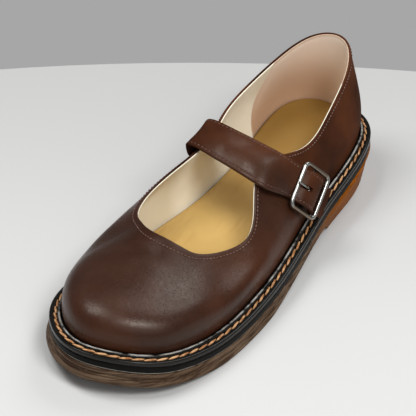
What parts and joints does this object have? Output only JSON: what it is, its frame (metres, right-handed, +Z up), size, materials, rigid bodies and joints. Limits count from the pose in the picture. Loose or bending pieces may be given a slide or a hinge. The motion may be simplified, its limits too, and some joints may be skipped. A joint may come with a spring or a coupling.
{
  "type": "mary jane shoe",
  "caption": "Left mary jane shoe with a hollow leather upper, a strap with a metal buckle, a stitched welt, a low heel and a rubber sole.",
  "frame": {"origin": "on the floor, at the centre of the box around the outsole's plan", "axes": "+Y to the toe, +X to the inner side of this left shoe, +Z up"},
  "size_m": [0.1048, 0.2738, 0.0861],
  "materials": {
    "brown_leather": "smooth satin leather",
    "tan_leather": "soft matt leather",
    "black_rubber": "satin",
    "brown_rubber": "satin",
    "bright_metal": "polished"
  },
  "bodies": {
    "root": {"outsole": "brown_rubber", "midsole": "black_rubber", "welt": "black_rubber", "insole": "tan_leather", "upper": "brown_leather", "strap": "brown_leather", "buckle_frame": "bright_metal", "buckle_prong": "bright_metal", "buckle_chape": "brown_leather"}
  },
  "joints": []
}
